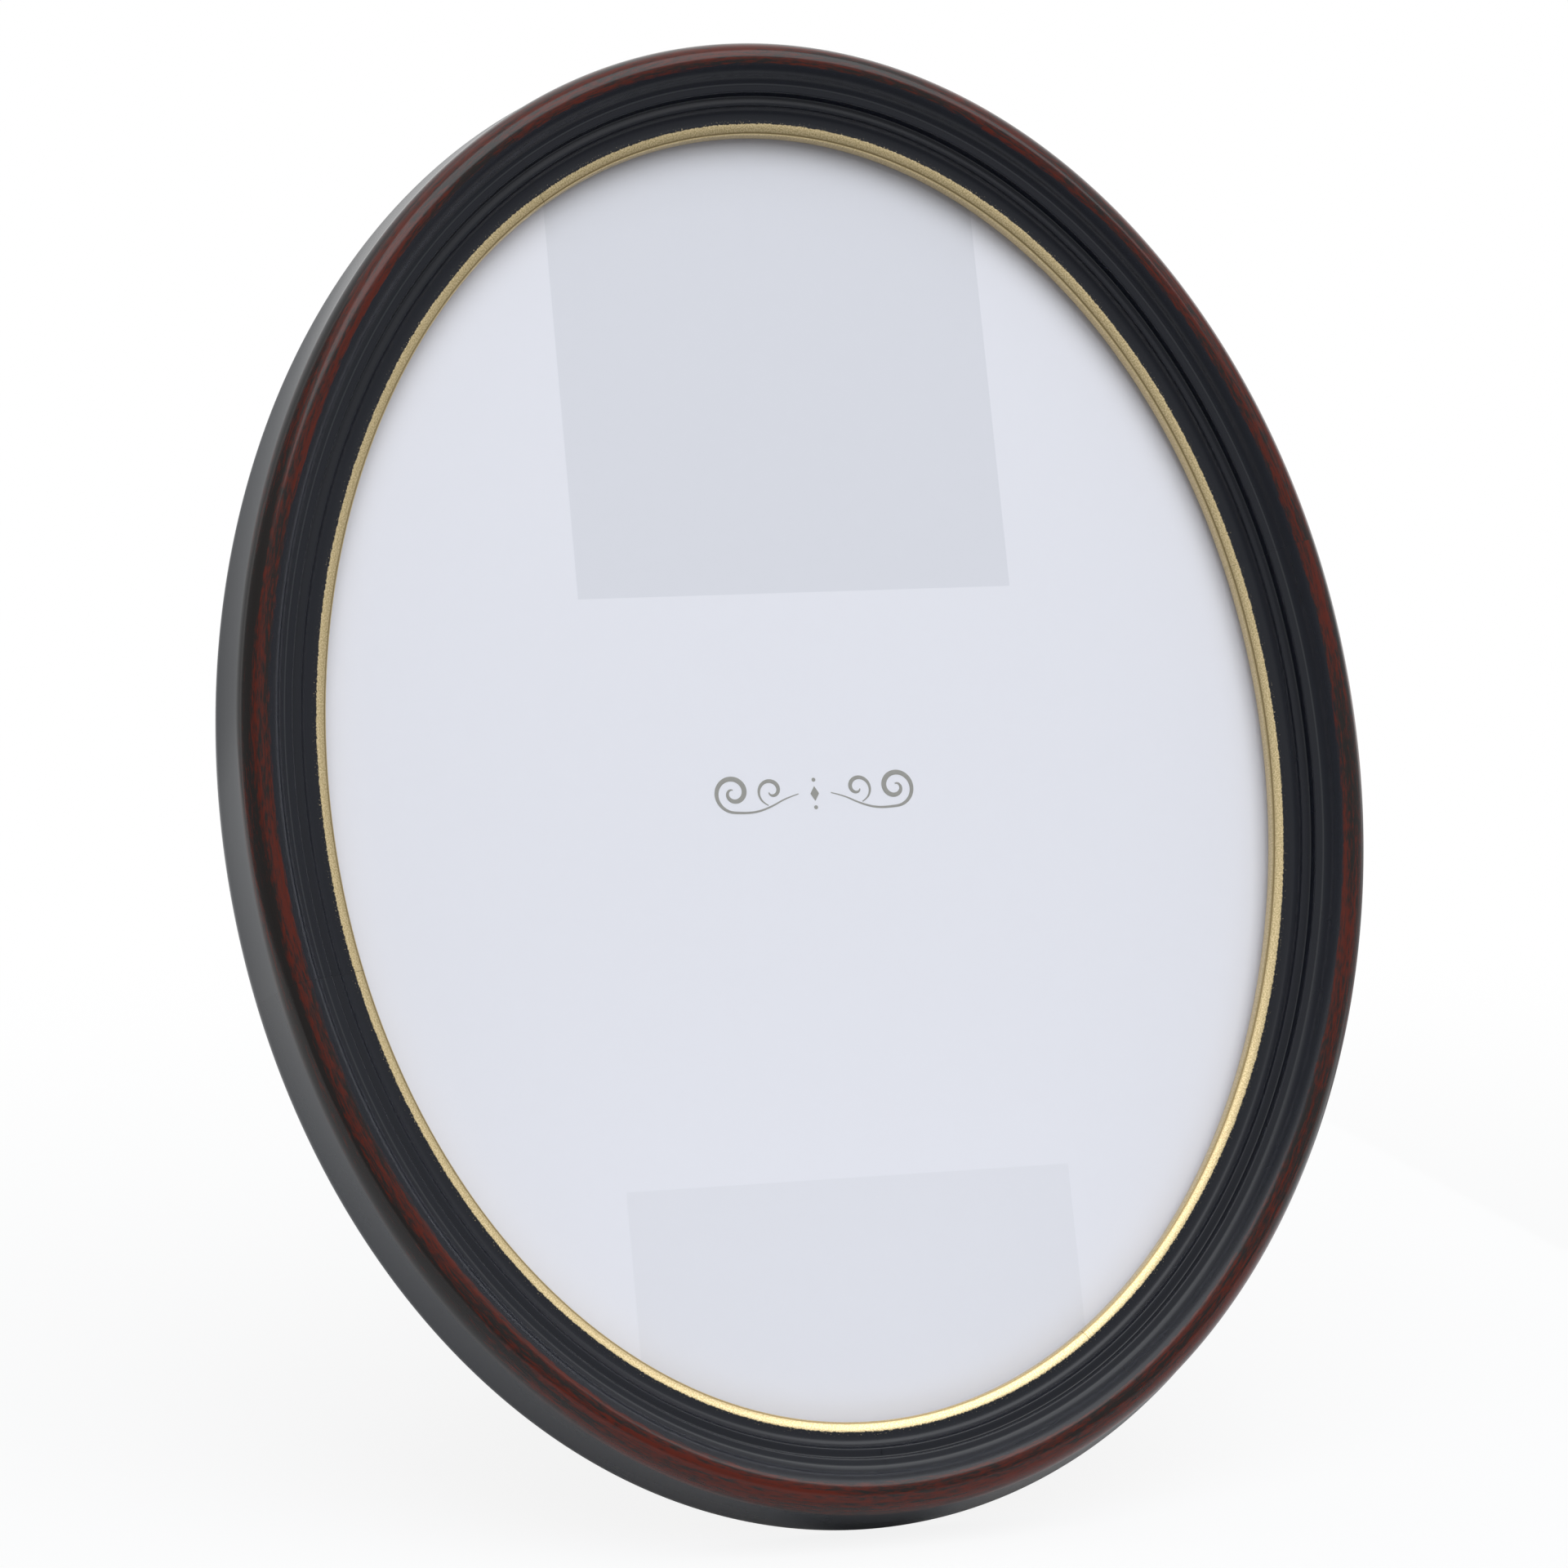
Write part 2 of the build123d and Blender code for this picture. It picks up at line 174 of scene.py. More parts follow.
def choose(piece, kind, test):
    """Selects the piece's vertices, edges or faces that pass a test, and enters edit mode."""
    bpy.ops.object.mode_set(mode="OBJECT")
    mesh = piece.data
    for group in (mesh.vertices, mesh.edges, mesh.polygons):
        group.foreach_set("select", [False] * len(group))
    for part in {"VERT": mesh.vertices, "EDGE": mesh.edges, "FACE": mesh.polygons}[kind]:
        part.select = test(part)
    bpy.context.tool_settings.mesh_select_mode = [kind == name for name in ("VERT", "EDGE", "FACE")]
    bpy.ops.object.mode_set(mode="EDIT")


def drawn(name, points):
    """A line drawn point by point, in millimetres, as a mesh of edges."""
    bpy.ops.object.select_all(action="DESELECT")
    bpy.ops.mesh.primitive_plane_add(size=MM)
    line = bpy.context.object
    line.name = name
    choose(line, "VERT", lambda vertex: True)
    bpy.ops.mesh.merge(type="CENTER")
    before = Vector()
    for number, point in enumerate(points):
        step = (Vector(point) - before) * MM
        before = Vector(point)
        if number:
            bpy.ops.mesh.extrude_vertices_move(TRANSFORM_OT_translate={"value": step})
        else:
            bpy.ops.transform.translate(value=step)
    bpy.ops.object.mode_set(mode="OBJECT")
    return line


def pick(piece):
    """Makes a piece the only one selected, and the active one."""
    bpy.ops.object.select_all(action="DESELECT")
    piece.select_set(True)
    bpy.context.view_layer.objects.active = piece


stick = drawn("stick", [(0, x, z) for x, z in section])
choose(stick, "VERT", lambda vertex: True)
bpy.ops.mesh.extrude_edges_move(TRANSFORM_OT_translate={"value": (sight_length, 0, 0)})
bpy.ops.object.mode_set(mode="OBJECT")

# The stick's own map: run along the oval and run across the section, in metres
corners = stick.data.vertices
run_map = stick.data.uv_layers.new(name="run")
for face in stick.data.polygons:
    near_end = [index for index in face.vertices if corners[index].co.x < MM]
    for loop in face.loop_indices:
        place = corners[stick.data.loops[loop].vertex_index].co
        twin = min(near_end, key=lambda index: (corners[index].co.yz - place.yz).length)
        run_map.data[loop].uv = (place.x, run_across[twin] * MM)
for cuts in (95, 4):
    corners = stick.data.vertices
    choose(stick, "EDGE", lambda e: abs(corners[e.vertices[0]].co.x - corners[e.vertices[1]].co.x) > MM)
    bpy.ops.mesh.subdivide(number_cuts=cuts)
bpy.ops.object.mode_set(mode="OBJECT")

# The stick is bent round the sight oval, its ends are welded and its edges are eased
oval_slack = 0.03 * MM
bpy.ops.curve.primitive_bezier_circle_add(radius=1)
oval = bpy.context.object
oval.scale = (sight_half_width - oval_slack, sight_half_height - oval_slack, 1)
bpy.ops.object.transform_apply(scale=True)
oval.data.resolution_u = 128
oval.data.use_radius = False
bend = stick.modifiers.new("bend", "CURVE")
bend.object = oval
pick(stick)
bpy.ops.object.modifier_apply(modifier="bend")
bpy.data.objects.remove(oval)
choose(stick, "VERT", lambda vertex: True)
bpy.ops.mesh.remove_doubles(threshold=0.05 * MM)
bpy.ops.mesh.normals_make_consistent(inside=False)
bpy.ops.object.mode_set(mode="OBJECT")
eased = stick.modifiers.new("eased", "BEVEL")
eased.width = 0.22 * MM
eased.segments = 3
eased.limit_method = "ANGLE"
eased.angle_limit = radians(24)
bpy.ops.object.modifier_apply(modifier="eased")


def add_node(tree, kind, inputs=None, **settings):
    """Adds a node to a finish. An input is a plain value, or another node's output to link."""
    made = tree.nodes.new(kind)
    for name, value in settings.items():
        setattr(made, name, value)
    for name, value in (inputs or {}).items():
        if isinstance(value, bpy.types.NodeSocket):
            tree.links.new(value, made.inputs[name])
        else:
            made.inputs[name].default_value = value
    return made


def new_finish(name):
    """A new material: itself, its node tree and its surface shader."""
    finish = bpy.data.materials.new(name)
    finish.use_nodes = True
    return finish, finish.node_tree, finish.node_tree.nodes["Principled BSDF"]


def calc(tree, operation, first, second):
    made = add_node(tree, "ShaderNodeMath", {0: first, 1: second}, operation=operation)
    return made.outputs[0]


def rise(tree, value, low, high):
    """Smooth step from 0 at low to 1 at high, or down where low is the larger."""
    inputs = {"Value": value, "From Min": low, "From Max": high}
    made = add_node(tree, "ShaderNodeMapRange", inputs, interpolation_type="SMOOTHSTEP")
    return made.outputs["Result"]


def mixed(tree, share, first, second):
    made = add_node(tree, "ShaderNodeMix", {0: share, 6: first, 7: second}, data_type="RGBA")
    return made.outputs[2]


def stretched_noise(tree, place, stretch, detail=4.0, roughness=0.6):
    """Noise on a place in millimetres; stretch is how many cells lie in a millimetre each way."""
    cells = add_node(tree, "ShaderNodeVectorMath", {0: place, 1: stretch}, operation="MULTIPLY")
    inputs = {"Vector": cells.outputs[0], "Scale": 1.0, "Detail": detail, "Roughness": roughness}
    return add_node(tree, "ShaderNodeTexNoise", inputs).outputs["Fac"]


def map_place(tree, name):
    """Place on a piece's own map, in millimetres."""
    spot = add_node(tree, "ShaderNodeUVMap", uv_map=name).outputs["UV"]
    inputs = {0: spot, 1: (1000, 1000, 0)}
    return add_node(tree, "ShaderNodeVectorMath", inputs, operation="MULTIPLY").outputs[0]


moulding_finish, tree, surface = new_finish("moulding_finish")
place = map_place(tree, "run")
split = add_node(tree, "ShaderNodeSeparateXYZ", {0: place})
along = split.outputs["X"]
across = split.outputs["Y"]
length_number = calc(tree, "FLOOR", calc(tree, "DIVIDE", along, 1000.0), 0.0)
round_oval = calc(tree, "SUBTRACT", along, calc(tree, "MULTIPLY", length_number, 1000.0))
own_place = place
place = add_node(tree, "ShaderNodeCombineXYZ", {0: round_oval, 1: across}).outputs[0]
from_joint = add_node(tree, "ShaderNodeUVMap", uv_map="joint").outputs["UV"]
from_joint = add_node(tree, "ShaderNodeSeparateXYZ", {0: from_joint}).outputs["X"]
glue_line = rise(tree, from_joint, 0.11 * MM, 0.03 * MM)
tone_inputs = {"W": length_number}
tone = add_node(tree, "ShaderNodeTexWhiteNoise", tone_inputs, noise_dimensions="1D").outputs["Value"]


def wander(tree, value, noise, reach):
    """Value shifted by up to half the reach each way, as the noise goes."""
    inputs = {0: noise, 1: reach, 2: -reach / 2}
    shift = add_node(tree, "ShaderNodeMath", inputs, operation="MULTIPLY_ADD").outputs[0]
    return calc(tree, "ADD", value, shift)


# Gilding: bronze powder brushed on, with a hairy edge and stray specks on the black
hair = stretched_noise(tree, place, (2.4, 1.0, 1), 3, 0.65)
sway = stretched_noise(tree, place, (0.02, 0.02, 1), 2, 0.5)
gilt_across = wander(tree, wander(tree, across, hair, 0.6), sway, 0.6)
gilt = rise(tree, gilt_across, gilt_run + 0.02, gilt_run - 0.16)
speck = stretched_noise(tree, place, (3.6, 3.6, 1), 2, 0.6)
near_gilt = rise(tree, gilt_across, gilt_run + 0.9, gilt_run + 0.1)
stray = calc(tree, "MULTIPLY", rise(tree, speck, 0.64, 0.72), near_gilt)
gilt = calc(tree, "MAXIMUM", gilt, calc(tree, "MULTIPLY", stray, 0.7))
powder = stretched_noise(tree, place, (3.6, 3.6, 1), 3, 0.7)
gold = mixed(tree, rise(tree, powder, 0.36, 0.64), (0.48, 0.37, 0.185, 1), (0.78, 0.635, 0.38, 1))
# Painted shade: the gilt is painted to a darker line just past the lip's arris
off_arris = calc(tree, "ABSOLUTE", calc(tree, "SUBTRACT", across, gilt_wall + 0.3), 0.0)
gold = mixed(tree, rise(tree, off_arris, 0.34, 0.06), gold, (0.33, 0.245, 0.12, 1))

# Stain: red mahogany wiped over black in long streaks, hard-edged towards the black cove. It is
# rubbed thinner on the outer flank at the left.
thin_stain_from = -55
thin_stain_to = -92
thin_stain_depth = 0.09
thin_flank_low = foot_run + 4.3
thin_flank_high = foot_run + 5.8
streak = stretched_noise(tree, place, (0.03, 0.55, 1), 5, 0.6)
fleck = stretched_noise(tree, place, (0.45, 2.6, 1), 4, 0.62)
patch = stretched_noise(tree, place, (0.022, 0.12, 1), 2, 0.5)
wiped = calc(tree, "ADD", calc(tree, "MULTIPLY", streak, 0.52), calc(tree, "MULTIPLY", fleck, 0.48))
wiped = wander(tree, wiped, patch, 0.22)
whole_place = add_node(tree, "ShaderNodeTexCoord").outputs["Object"]
to_the_right = add_node(tree, "ShaderNodeSeparateXYZ", {0: whole_place}).outputs["X"]
thin_side = rise(tree, to_the_right, thin_stain_from * MM, thin_stain_to * MM)
flank = rise(tree, across, thin_flank_low, thin_flank_high)
thinned = calc(tree, "MULTIPLY", calc(tree, "MULTIPLY", thin_side, flank), thin_stain_depth)
wiped = calc(tree, "SUBTRACT", wiped, thinned)
stain = rise(tree, wiped, 0.42, 0.58)
mahogany = mixed(tree, stain, (0.0125, 0.0095, 0.0085, 1), (0.088, 0.0085, 0.002, 1))
stain_edge = foot_run + 2.1
stain_across = wander(tree, wander(tree, across, streak, 1.6), fleck, 1.1)
toned_in = rise(tree, stain_across, stain_edge - 0.25, stain_edge + 0.35)
toned_out = rise(tree, stain_across, bead_run + 0.9, bead_run - 0.4)
toned = calc(tree, "MULTIPLY", toned_in, toned_out)
lacquer = mixed(tree, toned, (0.0068, 0.008, 0.013, 1), mahogany)
# A fine paler line painted in two inner corners is a painted highlight, for the light caught along the
# steps
for corner_run in (tread_run, ledge_run):
    off_corner = calc(tree, "ABSOLUTE", calc(tree, "SUBTRACT", across, corner_run), 0.0)
    painted_highlight = rise(tree, off_corner, 0.2, 0.06)
    lacquer = mixed(tree, painted_highlight, lacquer, (0.026, 0.028, 0.032, 1))
front = mixed(tree, gilt, lacquer, gold)

# Back: bare wood, with the black spray fading out round its outer edge
pore = stretched_noise(tree, own_place, (0.1, 2.6, 1), 5, 0.65)
bare = mixed(tree, rise(tree, pore, 0.3, 0.7), (0.36, 0.235, 0.12, 1), (0.56, 0.41, 0.24, 1))
behind = rise(tree, wander(tree, across, patch, 2.4), wall_run + 0.6, wall_run + 2.0)
whole = mixed(tree, behind, front, bare)
glued = calc(tree, "MULTIPLY", glue_line, 0.55)
tree.links.new(mixed(tree, glued, whole, (0.006, 0.005, 0.005, 1)), surface.inputs["Base Color"])
tree.links.new(calc(tree, "MULTIPLY", gilt, 0.94), surface.inputs["Metallic"])
polish = add_node(tree, "ShaderNodeMix", {0: toned, 2: 0.26, 3: 0.17}).outputs[0]
satin = wander(tree, wander(tree, polish, tone, 0.04), patch, 0.05)
surface.inputs["Specular IOR Level"].default_value = 0.34
gilt_gloss = wander(tree, 0.34, powder, 0.14)
gloss = add_node(tree, "ShaderNodeMix", {0: gilt, 2: satin, 3: gilt_gloss}).outputs[0]
gloss = add_node(tree, "ShaderNodeMix", {0: behind, 2: gloss, 3: 0.8}).outputs[0]
tree.links.new(gloss, surface.inputs["Roughness"])
grain = calc(tree, "MULTIPLY", calc(tree, "MULTIPLY", fleck, toned), 0.05)
relief = calc(tree, "ADD", grain, calc(tree, "MULTIPLY", powder, gilt))
relief = calc(tree, "ADD", relief, calc(tree, "MULTIPLY", pore, behind))
bump_inputs = {"Height": relief, "Strength": 0.14, "Distance": 0.1 * MM}
bump = add_node(tree, "ShaderNodeBump", bump_inputs)
tree.links.new(bump.outputs["Normal"], surface.inputs["Normal"])


def oval_frame(turn):
    """Point of the sight oval, and the way along it, at an angle of the oval."""
    angle = radians(turn)
    point = Vector((sight_half_width * cos(angle), sight_half_height * sin(angle), 0))
    along = Vector((-sight_half_width * sin(angle), sight_half_height * cos(angle), 0))
    return point, along.normalized()


# Each length is cut from the ring at its two glued joints and has its own stretch of grain
for number, (node, (first, last)) in enumerate(joint_turns.items()):
    pick(stick)
    bpy.ops.object.duplicate()
    segment = bpy.context.object
    segment.name = "finished_" + node
    segment.data.name = segment.name
    choose(segment, "FACE", lambda face: True)
    cuts = [oval_frame(first), oval_frame(last)]
    bpy.ops.mesh.bisect(plane_co=cuts[0][0], plane_no=cuts[0][1], use_fill=True, clear_inner=True)
    bpy.ops.mesh.select_all(action="SELECT")
    bpy.ops.mesh.bisect(plane_co=cuts[1][0], plane_no=cuts[1][1], use_fill=True, clear_outer=True)
    bpy.ops.object.mode_set(mode="OBJECT")
    begin = (360 - (first + last) / 2) / 360 * sight_length
    for corner in segment.data.uv_layers["run"].data:
        corner.uv.x = (corner.uv.x - begin) % sight_length + begin + number
    joint_map = segment.data.uv_layers.new(name="joint")
    for loop, corner in zip(segment.data.loops, joint_map.data):
        place = segment.data.vertices[loop.vertex_index].co
        corner.uv = (min(abs(way.dot(place - point)) for point, way in cuts), 0)
    segment.data.materials.append(moulding_finish)
    segment.matrix_world = on_face
    bpy.ops.object.transform_apply()
    bpy.ops.object.shade_smooth_by_angle(angle=radians(30))
    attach(segment, "frame")
    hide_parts(node)
bpy.data.objects.remove(stick)

# Joint dowels: turned beech pegs, glued into blind holes across the four joints. The wood round
# them hides them, so their plain form needs only its finish.


def object_place(tree):
    """Place on a piece in millimetres."""
    spot = add_node(tree, "ShaderNodeTexCoord").outputs["Object"]
    inputs = {0: spot, 1: (1000, 1000, 1000)}
    return add_node(tree, "ShaderNodeVectorMath", inputs, operation="MULTIPLY").outputs[0]


def finish_node(node, finish):
    solid = frame["nodes"][node].data
    solid.materials.clear()
    solid.materials.append(finish)


beech, tree, surface = new_finish("beech_peg")
place = object_place(tree)
ray_fleck = stretched_noise(tree, place, (1.8, 0.3, 0.3), 4, 0.65)
beech_tone = mixed(tree, rise(tree, ray_fleck, 0.3, 0.7), (0.42, 0.27, 0.16, 1), (0.6, 0.43, 0.28, 1))
tree.links.new(beech_tone, surface.inputs["Base Color"])
tree.links.new(wander(tree, 0.6, ray_fleck, 0.2), surface.inputs["Roughness"])
finish_node("joint_dowels", beech)

# Glass pane: 2 mm float glass cut to an oval, its rim ground smooth. It lies loose in the rebate,
# held behind the gilt lip by the stack at its back.
plate_half_width = 89.6 * MM
plate_half_height = 119.6 * MM
glass_back_gap = 0.08 * MM
bpy.ops.object.select_all(action="DESELECT")
bpy.ops.mesh.primitive_circle_add(vertices=240, radius=1, fill_type="NGON")
pane = bpy.context.object
pane.name = "clear_glass_pane"
pane.scale = (plate_half_width, plate_half_height, 1)
bpy.ops.object.transform_apply(scale=True)
bpy.ops.object.mode_set(mode="EDIT")
bpy.ops.mesh.select_all(action="SELECT")
depth = glass_thickness - glass_back_gap
bpy.ops.mesh.extrude_region_move(TRANSFORM_OT_translate={"value": (0, 0, -depth)})
bpy.ops.mesh.select_all(action="SELECT")
bpy.ops.mesh.normals_make_consistent(inside=False)
bpy.ops.object.mode_set(mode="OBJECT")
ground = pane.modifiers.new("ground", "BEVEL")
ground.width = 0.25 * MM
ground.segments = 2
ground.limit_method = "ANGLE"
bpy.ops.object.modifier_apply(modifier="ground")
pane.matrix_world = on_face
bpy.ops.object.transform_apply()
bpy.ops.object.shade_smooth_by_angle(angle=radians(15))

glass = bpy.data.materials.new("clear_glass")
glass.use_nodes = True
tree = glass.node_tree
tree.nodes.remove(tree.nodes["Principled BSDF"])
clear = add_node(tree, "ShaderNodeBsdfTransparent", {"Color": (0.985, 0.995, 0.99, 1)})
shine = add_node(tree, "ShaderNodeBsdfGlossy", {"Color": (1, 1, 1, 1), "Roughness": 0.02})
edge_shine = add_node(tree, "ShaderNodeFresnel", {"IOR": 1.5})
inner_side = add_node(tree, "ShaderNodeNewGeometry").outputs["Backfacing"]
shine_share = calc(tree, "MULTIPLY", edge_shine.outputs[0], calc(tree, "SUBTRACT", 1.0, inner_side))
pane_inputs = {0: shine_share, 1: clear.outputs[0], 2: shine.outputs[0]}
pane_shader = add_node(tree, "ShaderNodeMixShader", pane_inputs)
tree.links.new(pane_shader.outputs[0], tree.nodes["Material Output"].inputs["Surface"])
pane.data.materials.append(glass)
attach(pane, "frame")
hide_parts("glass_pane")

# Printed sheet: smooth white paper, cut to the format's oval, with two pale grey tint blocks
# that run off under the lip at the top and the bottom
sheet_thickness = 0.3 * MM
format_half_width = 90.0 * MM
format_half_height = 120.0 * MM
behind_glass = (0, 0, -glass_thickness)
bpy.ops.object.select_all(action="DESELECT")
bpy.ops.mesh.primitive_circle_add(vertices=240, radius=1, fill_type="NGON", location=behind_glass)
sheet = bpy.context.object
sheet.name = "printed_sheet"
sheet.scale = (format_half_width, format_half_height, 1)
bpy.ops.object.transform_apply(location=True, scale=True)
bpy.ops.object.mode_set(mode="EDIT")
bpy.ops.mesh.select_all(action="SELECT")
bpy.ops.mesh.extrude_region_move(TRANSFORM_OT_translate={"value": (0, 0, -sheet_thickness)})
bpy.ops.mesh.select_all(action="SELECT")
bpy.ops.mesh.normals_make_consistent(inside=False)
bpy.ops.object.mode_set(mode="OBJECT")


def flat_map(piece, name):
    """A map of a flat piece: its own X and Y, in metres."""
    flat = piece.data.uv_layers.new(name=name)
    for corner in piece.data.loops:
        place = piece.data.vertices[corner.vertex_index].co
        flat.data[corner.index].uv = (place.x, place.y)


flat_map(sheet, "print")
sheet.matrix_world = on_face
bpy.ops.object.transform_apply()

block_low = 31.9
block_left = -38.5
block_right = 42.0
foot_block_top = -73.7
foot_block_left = -39.3
foot_block_right = 41.5
print_edge = 0.06
paper, tree, surface = new_finish("printed_paper")
place = map_place(tree, "print")
spot = add_node(tree, "ShaderNodeSeparateXYZ", {0: place})


def between(tree, value, low, high):
    inside = rise(tree, value, low - print_edge, low + print_edge)
    return calc(tree, "MULTIPLY", inside, rise(tree, value, high + print_edge, high - print_edge))


head_block = between(tree, spot.outputs["X"], block_left, block_right)
above = rise(tree, spot.outputs["Y"], block_low - print_edge, block_low + print_edge)
head_block = calc(tree, "MULTIPLY", head_block, above)
foot_block = between(tree, spot.outputs["X"], foot_block_left, foot_block_right)
below = rise(tree, spot.outputs["Y"], foot_block_top + print_edge, foot_block_top - print_edge)
foot_block = calc(tree, "MULTIPLY", foot_block, below)
fibre = stretched_noise(tree, place, (2.2, 2.2, 1), 4, 0.7)
white = mixed(tree, fibre, (0.88, 0.847, 0.92, 1), (0.90, 0.867, 0.94, 1))
toned = mixed(tree, head_block, white, (0.80, 0.775, 0.845, 1))
toned = mixed(tree, foot_block, toned, (0.845, 0.815, 0.885, 1))
tree.links.new(toned, surface.inputs["Base Color"])
surface.inputs["Roughness"].default_value = 0.6
surface.inputs["Specular IOR Level"].default_value = 0.3
bump_inputs = {"Height": fibre, "Strength": 0.05, "Distance": 0.02 * MM}
fibre_bump = add_node(tree, "ShaderNodeBump", bump_inputs)
tree.links.new(fibre_bump.outputs["Normal"], surface.inputs["Normal"])
sheet.data.materials.append(paper)
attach(sheet, "frame")
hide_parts("print_sheet")

# Printed ornament: a small divider of mirrored scrolls, dots and a lozenge, printed in grey-brown
# ink on the middle of the sheet. Each stroke swells like a pen's and is thin at both ends.
ornament_middle = (1.5, -5.0)
ink_height = 0.02 * MM
ink_flatness = 0.04
scroll_centre = (15.0, 0.8)
scroll_inner = 0.5
scroll_outer = 3.6
scroll_tail = [(11.2, -2.95), (8.0, -1.9), (5.4, -0.5), (3.0, 0.15)]
curl_centre = (8.0, 0.9)
curl_outer = 2.7
curl_inner = 0.5


def pen_stroke(name, points, thick):
    """A pen stroke along points in millimetres, as a flat mesh."""
    line = bpy.data.curves.new(name, "CURVE")
    line.dimensions = "3D"
    line.bevel_depth = MM
    line.bevel_resolution = 2
    line.use_fill_caps = True
    spline = line.splines.new("NURBS")
    spline.points.add(len(points) - 1)
    for number, (x, y) in enumerate(points):
        spline.points[number].co = (x * MM, y * MM, 0, 1)
        spline.points[number].radius = 0.09 + (thick - 0.09) * sin(pi * number / (len(points) - 1))
    spline.order_u = 3
    spline.use_endpoint_u = True
    spline.resolution_u = 4
    stroke = bpy.data.objects.new(name, line)
    bpy.context.collection.objects.link(stroke)
    pick(stroke)
    bpy.ops.object.convert(target="MESH")
    stroke = bpy.context.object
    stroke.scale = (1, 1, ink_flatness)
    bpy.ops.object.transform_apply(scale=True)
    return stroke


def spiral(centre, first_radius, last_radius, first_turn, last_turn, count):
    shares = [step / count for step in range(count + 1)]
    return [
        on_circle(
            centre,
            first_radius + (last_radius - first_radius) * share,
            first_turn + (last_turn - first_turn) * share,
        )
        for share in shares
    ]


scroll_line = spiral(scroll_centre, scroll_inner, scroll_outer, 450, -90, 30) + scroll_tail
scroll = pen_stroke("scroll", scroll_line, 0.46)
curl = pen_stroke("curl", spiral(curl_centre, curl_outer, curl_inner, -75, 330, 20), 0.36)
pick(scroll)
curl.select_set(True)
bpy.ops.object.join()
mirrored_half = scroll.modifiers.new("mirrored_half", "MIRROR")
mirrored_half.use_mirror_merge = False
bpy.ops.object.modifier_apply(modifier="mirrored_half")
lozenge = (4, (0.8, 1.35), 0.1)
upper_dot = (24, (0.36, 0.36), 2.6)
lower_dot = (24, (0.36, 0.36), -2.4)
for corners, size, height in (lozenge, upper_dot, lower_dot):
    bpy.ops.object.select_all(action="DESELECT")
    spot = (0, height * MM, 0)
    bpy.ops.mesh.primitive_circle_add(vertices=corners, radius=MM, fill_type="NGON", location=spot)
    mark = bpy.context.object
    mark.scale = (size[0], size[1], 1)
    bpy.ops.object.transform_apply(location=True, scale=True)
    bpy.ops.object.mode_set(mode="EDIT")
    bpy.ops.mesh.select_all(action="SELECT")
    bpy.ops.mesh.extrude_region_move(TRANSFORM_OT_translate={"value": (0, 0, 0.01 * MM)})
    bpy.ops.mesh.select_all(action="SELECT")
    bpy.ops.mesh.normals_make_consistent(inside=False)
    bpy.ops.object.mode_set(mode="OBJECT")
    pick(scroll)
    mark.select_set(True)
    bpy.ops.object.join()
ornament = scroll
ornament.name = "printed_ornament"
ornament.data.name = ornament.name
lift = Matrix.Translation((ornament_middle[0] * MM, ornament_middle[1] * MM, ink_height - glass_thickness))
ornament.matrix_world = on_face @ lift
bpy.ops.object.transform_apply()
bpy.ops.object.shade_smooth_by_angle(angle=radians(30))
ink, tree, surface = new_finish("grey_ink")
place = object_place(tree)
mottle = stretched_noise(tree, place, (3.0, 3.0, 3.0), 3, 0.6)
ink_tone = mixed(tree, mottle, (0.29, 0.27, 0.255, 1), (0.37, 0.35, 0.33, 1))
tree.links.new(ink_tone, surface.inputs["Base Color"])
tree.links.new(wander(tree, 0.5, mottle, 0.2), surface.inputs["Roughness"])
ornament.data.materials.append(ink)
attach(ornament, "frame")

# Backing card: grey pulp board cut to the plate's oval, which fills the stack behind the sheet.
# The closed back hides it, so its plain form needs only its finish.
card_thickness = 0.8 * MM
card, tree, surface = new_finish("grey_pulp_card")
place = object_place(tree)
pulp = stretched_noise(tree, place, (1.5, 1.5, 1.5), 5, 0.7)
card_tone = mixed(tree, rise(tree, pulp, 0.3, 0.7), (0.27, 0.25, 0.22, 1), (0.42, 0.40, 0.36, 1))
tree.links.new(card_tone, surface.inputs["Base Color"])
tree.links.new(wander(tree, 0.85, pulp, 0.1), surface.inputs["Roughness"])
finish_node("backing_card", card)

# Back board: 2.5 mm hardboard sawn to the plate's oval, its rim eased with sandpaper. The rear
# face keeps the fine mesh mark of the press screen.
board_thickness = 2.5 * MM
board_back = glass_thickness + sheet_thickness + card_thickness + board_thickness
bpy.ops.object.select_all(action="DESELECT")
bpy.ops.mesh.primitive_circle_add(vertices=240, radius=1, fill_type="NGON", location=(0, 0, -board_back))
board = bpy.context.object
board.name = "hardboard_back"
board.scale = (plate_half_width, plate_half_height, 1)
bpy.ops.object.transform_apply(location=True, scale=True)
bpy.ops.object.mode_set(mode="EDIT")
bpy.ops.mesh.select_all(action="SELECT")
bpy.ops.mesh.extrude_region_move(TRANSFORM_OT_translate={"value": (0, 0, board_thickness)})
bpy.ops.mesh.select_all(action="SELECT")
bpy.ops.mesh.normals_make_consistent(inside=False)
bpy.ops.object.mode_set(mode="OBJECT")


def ease_edges(piece, width, sharp):
    """Rounds over a piece's edges that are sharper than an angle, and keeps its flats flat."""
    pick(piece)
    eased = piece.modifiers.new("eased", "BEVEL")
    eased.width = width
    eased.segments = 3
    eased.limit_method = "ANGLE"
    eased.angle_limit = radians(sharp)
    eased.use_clamp_overlap = False
    bpy.ops.object.modifier_apply(modifier="eased")
    bpy.ops.object.shade_smooth_by_angle(angle=radians(35))
    flats = piece.modifiers.new("flats", "WEIGHTED_NORMAL")
    flats.keep_sharp = True
    bpy.ops.object.modifier_apply(modifier="flats")


ease_edges(board, 0.4 * MM, 30)
flat_map(board, "flat")
board.matrix_world = on_face
bpy.ops.object.transform_apply()

